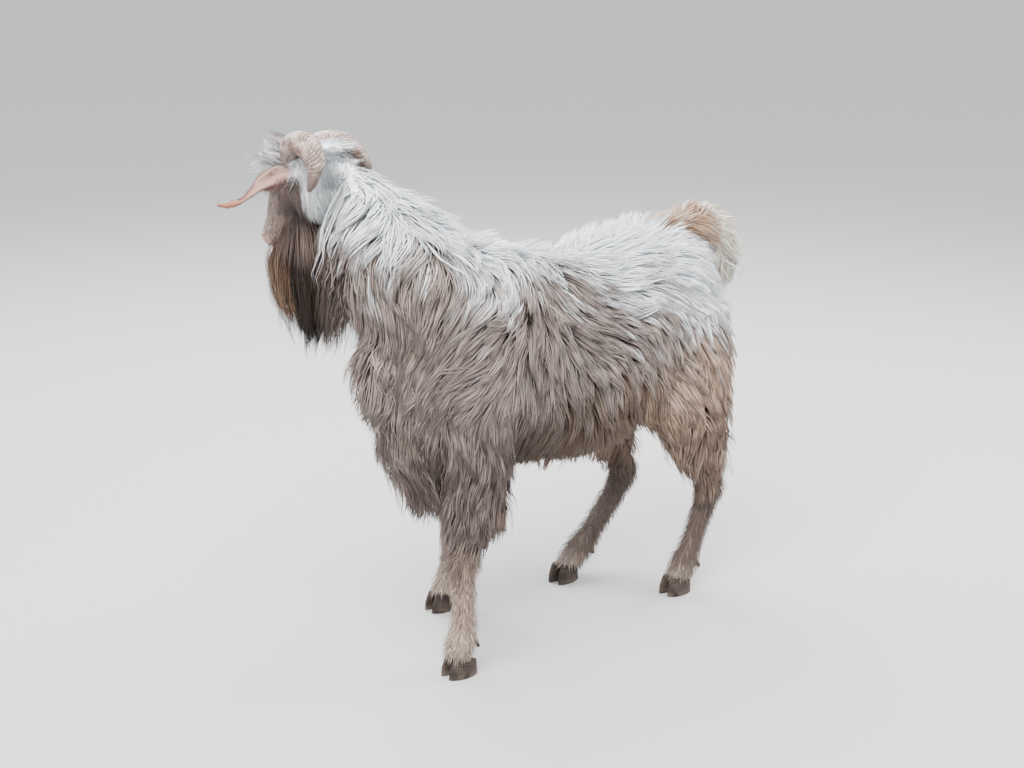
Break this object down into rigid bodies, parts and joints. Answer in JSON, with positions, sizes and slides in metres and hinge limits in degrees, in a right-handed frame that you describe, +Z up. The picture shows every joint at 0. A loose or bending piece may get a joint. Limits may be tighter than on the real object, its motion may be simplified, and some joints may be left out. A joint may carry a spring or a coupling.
{
  "type": "goat",
  "caption": "Long-haired horned buck goat, a still life-size model standing in a walk with its head turned to its right and its tail arched over the rump.",
  "frame": {"origin": "the floor below the middle of the goat's box", "axes": "+Z up, the goat faces -Y, and its left side is +X"},
  "size_m": [0.4768, 1.226, 1.0588],
  "materials": {
    "white_coat": "long wavy off-white hair, matte",
    "taupe_coat": "long soiled taupe hair in locks, matte",
    "tan_coat": "long orange-tan hair, matte",
    "face": "short flat hair over pinkish grey skin, matte",
    "skin": "thinly haired pink skin, satin",
    "horn": "ridged tan-brown keratin, satin",
    "hoof": "dark keratin with growth rings, satin",
    "eye": "amber iris with a level slit pupil, wet gloss"
  },
  "bodies": {
    "root": {"beard": "tan_coat", "dewclaw_front_left_left": "hoof", "dewclaw_front_left_right": "hoof", "dewclaw_front_right_left": "hoof", "dewclaw_front_right_right": "hoof", "dewclaw_hind_left_left": "hoof", "dewclaw_hind_left_right": "hoof", "dewclaw_hind_right_left": "hoof", "dewclaw_hind_right_right": "hoof", "ear_left": "skin", "ear_right": "skin", "eye_left": "eye", "eye_right": "eye", "head": "face", "hoof_front_left_left_toe": "hoof", "hoof_front_left_right_toe": "hoof", "hoof_front_right_left_toe": "hoof", "hoof_front_right_right_toe": "hoof", "hoof_hind_left_left_toe": "hoof", "hoof_hind_left_right_toe": "hoof", "hoof_hind_right_left_toe": "hoof", "hoof_hind_right_right_toe": "hoof", "horn_left": "horn", "horn_right": "horn", "lower_leg_front_left": "white_coat", "lower_leg_front_right": "white_coat", "lower_leg_hind_left": "white_coat", "lower_leg_hind_right": "white_coat", "neck": "white_coat", "tail": "tan_coat", "trunk": "white_coat", "upper_leg_front_left": "taupe_coat", "upper_leg_front_right": "taupe_coat", "upper_leg_hind_left": "taupe_coat", "upper_leg_hind_right": "taupe_coat"}
  },
  "joints": []
}
